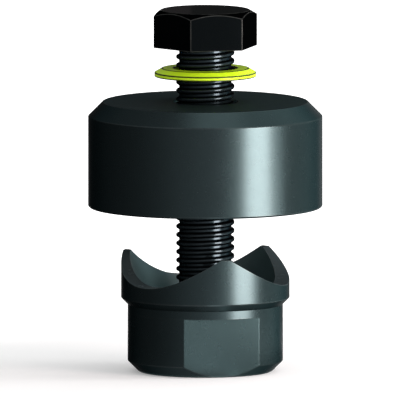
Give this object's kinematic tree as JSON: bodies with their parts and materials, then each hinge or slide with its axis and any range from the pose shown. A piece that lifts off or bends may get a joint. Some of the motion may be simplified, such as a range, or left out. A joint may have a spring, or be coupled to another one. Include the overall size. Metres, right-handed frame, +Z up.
{
  "type": "knockout punch for sheet metal",
  "caption": "Three-tipped hole punch and cup die on a hex draw bolt, with a bevelled washer: turning the bolt pulls the punch through a metal panel.",
  "frame": {"origin": "middle of the punch's flat underside, on the axis that all the pieces share", "axes": "+Z up along the bolt towards its head; one punch tip, one spanner flat and one face of the bolt's head look towards -Y"},
  "size_m": [0.0482, 0.0482, 0.0745],
  "materials": {
    "punch_steel": "blackened and oiled, satin, turned and ground",
    "die_steel": "blackened and oiled, satin, turned",
    "bolt_steel": "black oxide, satin, with a rolled thread",
    "washer_lime": "lime-yellow coating, semi-gloss"
  },
  "bodies": {
    "punch": {"punch": "punch_steel"},
    "die": {"die": "die_steel"},
    "bolt": {"draw_bolt": "bolt_steel"},
    "washer": {"washer": "washer_lime"}
  },
  "joints": [
    {"name": "die_travel", "type": "slide", "parent": "punch", "child": "die", "axis": [0, 0, -1], "range_m": [-0.007, 0.021]},
    {"name": "bolt_turn", "type": "hinge", "parent": "die", "child": "bolt", "pos_m": [0, 0, 0.0669], "axis": [0, 0, -1], "range_deg": [-1440, 4320]},
    {"name": "washer_slide", "type": "slide", "parent": "bolt", "child": "washer", "axis": [0, 0, 1], "range_m": [-0.00515, 0.0043]}
  ],
  "couplings": [
    {"joint": "bolt_turn", "follows": "die_travel", "rad_per_m": 3590.4}
  ]
}
